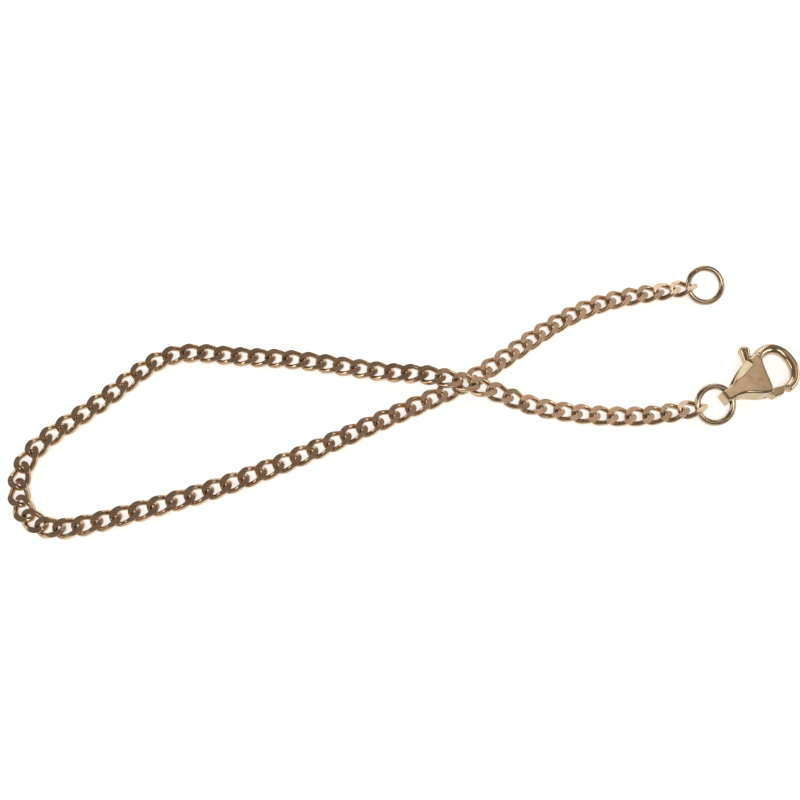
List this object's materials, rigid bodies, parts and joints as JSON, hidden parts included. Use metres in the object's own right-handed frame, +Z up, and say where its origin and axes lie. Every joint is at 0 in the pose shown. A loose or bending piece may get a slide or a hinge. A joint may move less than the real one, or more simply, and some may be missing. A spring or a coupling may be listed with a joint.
{
  "type": "curb link chain",
  "caption": "Fine filed curb link chain in rose gold, laid in an open loop, with a jump ring at one end and a lobster clasp at the other.",
  "frame": {"origin": "middle of the laid-out chain's underside, on the surface it lies on", "axes": "+X along the layout towards the clasp and the two ends, +Y across it towards the side of the free end ring, +Z up"},
  "size_m": [0.0972, 0.0364, 0.0028],
  "materials": {
    "chain_gold": "polished, filed facets",
    "ring_gold": "polished",
    "clasp_gold": "polished",
    "trigger_gold": "polished",
    "pin_gold": "polished",
    "spring_steel": "bright drawn wire"
  },
  "bodies": {
    "link_01": {"link_01": "chain_gold"},
    "link_02": {"link_02": "chain_gold"},
    "link_03": {"link_03": "chain_gold"},
    "link_04": {"link_04": "chain_gold"},
    "link_05": {"link_05": "chain_gold"},
    "link_06": {"link_06": "chain_gold"},
    "link_07": {"link_07": "chain_gold"},
    "link_08": {"link_08": "chain_gold"},
    "link_09": {"link_09": "chain_gold"},
    "link_10": {"link_10": "chain_gold"},
    "link_11": {"link_11": "chain_gold"},
    "link_12": {"link_12": "chain_gold"},
    "links_13_14": {"links_13_14": "chain_gold"},
    "links_15_16": {"links_15_16": "chain_gold"},
    "links_17_18": {"links_17_18": "chain_gold"},
    "links_19_20": {"links_19_20": "chain_gold"},
    "links_21_22": {"links_21_22": "chain_gold"},
    "links_23_24": {"links_23_24": "chain_gold"},
    "links_25_26": {"links_25_26": "chain_gold"},
    "links_27_28": {"links_27_28": "chain_gold"},
    "links_29_30": {"links_29_30": "chain_gold"},
    "links_31_32": {"links_31_32": "chain_gold"},
    "links_33_34": {"links_33_34": "chain_gold"},
    "links_35_36": {"links_35_36": "chain_gold"},
    "links_37_38": {"links_37_38": "chain_gold"},
    "links_39_40": {"links_39_40": "chain_gold"},
    "links_41_42": {"links_41_42": "chain_gold"},
    "links_43_44": {"links_43_44": "chain_gold"},
    "links_45_46": {"links_45_46": "chain_gold"},
    "links_47_48": {"links_47_48": "chain_gold"},
    "links_49_50": {"links_49_50": "chain_gold"},
    "links_51_52": {"links_51_52": "chain_gold"},
    "links_53_54": {"links_53_54": "chain_gold"},
    "links_55_56": {"links_55_56": "chain_gold"},
    "links_57_58": {"links_57_58": "chain_gold"},
    "links_59_60": {"links_59_60": "chain_gold"},
    "links_61_62": {"links_61_62": "chain_gold"},
    "links_63_64": {"links_63_64": "chain_gold"},
    "links_65_66": {"links_65_66": "chain_gold"},
    "links_67_68": {"links_67_68": "chain_gold"},
    "links_69_70": {"links_69_70": "chain_gold"},
    "links_71_72": {"links_71_72": "chain_gold"},
    "links_73_74": {"links_73_74": "chain_gold"},
    "link_75": {"link_75": "chain_gold"},
    "link_76": {"link_76": "chain_gold"},
    "link_77": {"link_77": "chain_gold"},
    "link_78": {"link_78": "chain_gold"},
    "link_79": {"link_79": "chain_gold"},
    "link_80": {"link_80": "chain_gold"},
    "link_81": {"link_81": "chain_gold"},
    "link_82": {"link_82": "chain_gold"},
    "link_83": {"link_83": "chain_gold"},
    "link_84": {"link_84": "chain_gold"},
    "link_85": {"link_85": "chain_gold"},
    "end_ring": {"end_ring": "ring_gold"},
    "clasp_ring": {"clasp_ring": "ring_gold"},
    "clasp_body": {"clasp_body": "clasp_gold", "clasp_pin": "pin_gold", "clasp_spring": "spring_steel"},
    "clasp_trigger": {"clasp_trigger": "trigger_gold"}
  },
  "joints": [
    {"name": "bend_43_42", "type": "hinge", "parent": "links_43_44", "child": "links_41_42", "pos_m": [-0.04682, -0.01373, 0.00059], "axis": [0.9122, 0.4098, 0], "range_deg": [0, 14]},
    {"name": "bend_41_40", "type": "hinge", "parent": "links_41_42", "child": "links_39_40", "pos_m": [-0.04378, -0.01677, 0.00059], "axis": [-0.3481, -0.9375, 0], "range_deg": [-9, 0]},
    {"name": "bend_39_38", "type": "hinge", "parent": "links_39_40", "child": "links_37_38", "pos_m": [-0.03942, -0.01678, 0.00059], "axis": [-0.1907, 0.9817, 0], "range_deg": [0, 22]},
    {"name": "bend_37_36", "type": "hinge", "parent": "links_37_38", "child": "links_35_36", "pos_m": [-0.03516, -0.01566, 0.00059], "axis": [0.2702, -0.9628, 0], "range_deg": [-22, 0]},
    {"name": "bend_35_34", "type": "hinge", "parent": "links_35_36", "child": "links_33_34", "pos_m": [-0.03094, -0.01444, 0.00059], "axis": [-0.2847, 0.9586, 0], "range_deg": [0, 22]},
    {"name": "bend_33_32", "type": "hinge", "parent": "links_33_34", "child": "links_31_32", "pos_m": [-0.02674, -0.01314, 0.00059], "axis": [0.3117, -0.9502, 0], "range_deg": [-22, 0]},
    {"name": "bend_31_30", "type": "hinge", "parent": "links_31_32", "child": "links_29_30", "pos_m": [-0.02258, -0.01168, 0.00059], "axis": [-0.352, 0.936, 0], "range_deg": [0, 22]},
    {"name": "bend_29_28", "type": "hinge", "parent": "links_29_30", "child": "links_27_28", "pos_m": [-0.0185, -0.01005, 0.00059], "axis": [0.388, -0.9217, 0], "range_deg": [-22, 0]},
    {"name": "bend_27_26", "type": "hinge", "parent": "links_27_28", "child": "links_25_26", "pos_m": [-0.01447, -0.00827, 0.00059], "axis": [-0.4148, 0.9099, 0], "range_deg": [0, 22]},
    {"name": "bend_25_24", "type": "hinge", "parent": "links_25_26", "child": "links_23_24", "pos_m": [-0.01049, -0.00641, 0.00059], "axis": [0.429, -0.9033, 0], "range_deg": [-22, 0]},
    {"name": "bend_23_22", "type": "hinge", "parent": "links_23_24", "child": "links_21_22", "pos_m": [-0.00652, -0.00451, 0.00059], "axis": [-0.4313, 0.9022, 0], "range_deg": [0, 22]},
    {"name": "bend_21_20", "type": "hinge", "parent": "links_21_22", "child": "links_19_20", "pos_m": [-0.00254, -0.00262, 0.00059], "axis": [0.4244, -0.9055, 0], "range_deg": [-22, 0]},
    {"name": "bend_19_18", "type": "hinge", "parent": "links_19_20", "child": "links_17_18", "pos_m": [0.00145, -0.00077, 0.00059], "axis": [-0.4291, 0.9033, 0], "range_deg": [0, 22]},
    {"name": "bend_17_16", "type": "hinge", "parent": "links_17_18", "child": "links_15_16", "pos_m": [0.00537, 0.00122, 0.00059], "axis": [0.489, -0.8723, 0], "range_deg": [-12, 0]},
    {"name": "bend_15_14", "type": "hinge", "parent": "links_15_16", "child": "links_13_14", "pos_m": [0.0091, 0.00355, 0.00059], "axis": [-0.5629, 0.8265, 0], "range_deg": [0, 22]},
    {"name": "bend_13_12", "type": "hinge", "parent": "links_13_14", "child": "link_12", "pos_m": [0.01267, 0.00612, 0.00059], "axis": [0.597, -0.8023, 0], "range_deg": [-22, 22]},
    {"name": "bend_12_11", "type": "hinge", "parent": "link_12", "child": "link_11", "pos_m": [0.01443, 0.00744, 0.00059], "axis": [0, 0, 1], "range_deg": [-12, 24]},
    {"name": "bend_11_10", "type": "hinge", "parent": "link_11", "child": "link_10", "pos_m": [0.0162, 0.00875, 0.00059], "axis": [-0.582, 0.8132, 0], "range_deg": [-22, 22]},
    {"name": "bend_10_09", "type": "hinge", "parent": "link_10", "child": "link_09", "pos_m": [0.01801, 0.01001, 0.00059], "axis": [0, 0, -1], "range_deg": [-24, 12]},
    {"name": "bend_09_08", "type": "hinge", "parent": "link_09", "child": "link_08", "pos_m": [0.01988, 0.01116, 0.00059], "axis": [0.4945, -0.8692, 0], "range_deg": [-22, 22]},
    {"name": "bend_08_07", "type": "hinge", "parent": "link_08", "child": "link_07", "pos_m": [0.02183, 0.01218, 0.00059], "axis": [0, 0, 1], "range_deg": [-12, 24]},
    {"name": "bend_07_06", "type": "hinge", "parent": "link_07", "child": "link_06", "pos_m": [0.02385, 0.01306, 0.00059], "axis": [-0.3609, 0.9326, 0], "range_deg": [-22, 22]},
    {"name": "bend_06_05", "type": "hinge", "parent": "link_06", "child": "link_05", "pos_m": [0.02593, 0.01377, 0.00059], "axis": [0, 0, -1], "range_deg": [-24, 12]},
    {"name": "bend_05_04", "type": "hinge", "parent": "link_05", "child": "link_04", "pos_m": [0.02807, 0.01429, 0.00059], "axis": [0.2078, -0.9782, 0], "range_deg": [-22, 22]},
    {"name": "bend_04_03", "type": "hinge", "parent": "link_04", "child": "link_03", "pos_m": [0.03023, 0.01468, 0.00066], "axis": [0, 0, 1], "range_deg": [-12, 24]},
    {"name": "bend_03_02", "type": "hinge", "parent": "link_03", "child": "link_02", "pos_m": [0.03241, 0.01498, 0.0008], "axis": [-0.1306, 0.9914, 0], "range_deg": [-22, 22]},
    {"name": "bend_02_01", "type": "hinge", "parent": "link_02", "child": "link_01", "pos_m": [0.03458, 0.01525, 0.00102], "axis": [0, 0, -1], "range_deg": [-24, 12]},
    {"name": "bend_44_45", "type": "hinge", "parent": "links_43_44", "child": "links_45_46", "pos_m": [-0.04732, -0.00942, 0.00059], "axis": [-0.9757, 0.2191, 0], "range_deg": [-12, 0]},
    {"name": "bend_46_47", "type": "hinge", "parent": "links_45_46", "child": "links_47_48", "pos_m": [-0.04503, -0.00573, 0.00059], "axis": [0.71, -0.7042, 0], "range_deg": [0, 21]},
    {"name": "bend_48_49", "type": "hinge", "parent": "links_47_48", "child": "links_49_50", "pos_m": [-0.04165, -0.0029, 0.00059], "axis": [-0.6262, 0.7797, 0], "range_deg": [-22, 0]},
    {"name": "bend_50_51", "type": "hinge", "parent": "links_49_50", "child": "links_51_52", "pos_m": [-0.03831, -0.00005, 0.00059], "axis": [0.6832, -0.7303, 0], "range_deg": [0, 22]},
    {"name": "bend_52_53", "type": "hinge", "parent": "links_51_52", "child": "links_53_54", "pos_m": [-0.03516, 0.00302, 0.00059], "axis": [-0.6766, 0.7363, 0], "range_deg": [-22, 0]},
    {"name": "bend_54_55", "type": "hinge", "parent": "links_53_54", "child": "links_55_56", "pos_m": [-0.03157, 0.00553, 0.00059], "axis": [0.3487, -0.9372, 0], "range_deg": [0, 15]},
    {"name": "bend_56_57", "type": "hinge", "parent": "links_55_56", "child": "links_57_58", "pos_m": [-0.02721, 0.00598, 0.00059], "axis": [0.0545, 0.9985, 0], "range_deg": [-22, 0]},
    {"name": "bend_58_59", "type": "hinge", "parent": "links_57_58", "child": "links_59_60", "pos_m": [-0.02284, 0.00551, 0.00059], "axis": [-0.0832, -0.9965, 0], "range_deg": [0, 22]},
    {"name": "bend_60_61", "type": "hinge", "parent": "links_59_60", "child": "links_61_62", "pos_m": [-0.01845, 0.00527, 0.00059], "axis": [0.0588, 0.9983, 0], "range_deg": [-22, 0]},
    {"name": "bend_62_63", "type": "hinge", "parent": "links_61_62", "child": "links_63_64", "pos_m": [-0.01406, 0.00488, 0.00059], "axis": [-0.1261, -0.992, 0], "range_deg": [0, 22]},
    {"name": "bend_64_65", "type": "hinge", "parent": "links_63_64", "child": "links_65_66", "pos_m": [-0.00972, 0.00421, 0.00059], "axis": [0.1606, 0.987, 0], "range_deg": [-22, 0]},
    {"name": "bend_66_67", "type": "hinge", "parent": "links_65_66", "child": "links_67_68", "pos_m": [-0.00537, 0.00352, 0.00059], "axis": [-0.1495, -0.9888, 0], "range_deg": [0, 22]},
    {"name": "bend_68_69", "type": "hinge", "parent": "links_67_68", "child": "links_69_70", "pos_m": [-0.00107, 0.00287, 0.00109], "axis": [0.1623, 0.9867, 0], "range_deg": [-22, 0]},
    {"name": "bend_70_71", "type": "hinge", "parent": "links_69_70", "child": "links_71_72", "pos_m": [0.00319, 0.00207, 0.00173], "axis": [-0.2187, -0.9758, 0], "range_deg": [0, 22]},
    {"name": "bend_72_73", "type": "hinge", "parent": "links_71_72", "child": "links_73_74", "pos_m": [0.00744, 0.00091, 0.00173], "axis": [0.2999, 0.954, 0], "range_deg": [-22, 0]},
    {"name": "bend_74_75", "type": "hinge", "parent": "links_73_74", "child": "link_75", "pos_m": [0.01158, -0.00047, 0.00131], "axis": [0, 0, -1], "range_deg": [-12, 24]},
    {"name": "bend_75_76", "type": "hinge", "parent": "link_75", "child": "link_76", "pos_m": [0.01362, -0.0011, 0.00077], "axis": [0.2725, 0.9622, 0], "range_deg": [-20, 20]},
    {"name": "bend_76_77", "type": "hinge", "parent": "link_76", "child": "link_77", "pos_m": [0.01574, -0.00165, 0.00059], "axis": [0, 0, 1], "range_deg": [-24, 12]},
    {"name": "bend_77_78", "type": "hinge", "parent": "link_77", "child": "link_78", "pos_m": [0.0179, -0.00208, 0.00059], "axis": [-0.172, -0.9851, 0], "range_deg": [-22, 22]},
    {"name": "bend_78_79", "type": "hinge", "parent": "link_78", "child": "link_79", "pos_m": [0.02007, -0.0024, 0.00059], "axis": [0, 0, -1], "range_deg": [-12, 24]},
    {"name": "bend_79_80", "type": "hinge", "parent": "link_79", "child": "link_80", "pos_m": [0.02226, -0.00263, 0.00059], "axis": [0.086, 0.9963, 0], "range_deg": [-22, 22]},
    {"name": "bend_80_81", "type": "hinge", "parent": "link_80", "child": "link_81", "pos_m": [0.02446, -0.00278, 0.00059], "axis": [0, 0, 1], "range_deg": [-24, 12]},
    {"name": "bend_81_82", "type": "hinge", "parent": "link_81", "child": "link_82", "pos_m": [0.02665, -0.00283, 0.00059], "axis": [0.0074, -1, 0], "range_deg": [-22, 22]},
    {"name": "bend_82_83", "type": "hinge", "parent": "link_82", "child": "link_83", "pos_m": [0.02885, -0.00275, 0.00066], "axis": [0, 0, -1], "range_deg": [-12, 24]},
    {"name": "bend_83_84", "type": "hinge", "parent": "link_83", "child": "link_84", "pos_m": [0.03104, -0.00252, 0.0008], "axis": [-0.1304, 0.9915, 0], "range_deg": [-22, 22]},
    {"name": "bend_84_85", "type": "hinge", "parent": "link_84", "child": "link_85", "pos_m": [0.0332, -0.00218, 0.00102], "axis": [0, 0, 1], "range_deg": [-24, 12]},
    {"name": "end_ring_swing", "type": "hinge", "parent": "link_01", "child": "end_ring", "pos_m": [0.0363, 0.01547, 0.00128], "axis": [0.1259, -0.992, 0], "range_deg": [-15, 30]},
    {"name": "clasp_ring_swing", "type": "hinge", "parent": "link_85", "child": "clasp_ring", "pos_m": [0.03491, -0.00188, 0.00128], "axis": [0.1701, -0.9854, 0], "range_deg": [-15, 30]},
    {"name": "clasp_swing", "type": "hinge", "parent": "clasp_ring", "child": "clasp_body", "pos_m": [0.03906, -0.00038, 0.00161], "axis": [0.4848, -0.8746, 0], "range_deg": [0, 70]},
    {"name": "trigger_turn", "type": "hinge", "parent": "clasp_body", "child": "clasp_trigger", "pos_m": [0.04278, 0.00135, 0.00136], "axis": [0.0519, 0.0288, 0.9982], "range_deg": [0, 18], "stiffness_Nm_per_rad": 0.002, "springref_deg": -5.73}
  ]
}
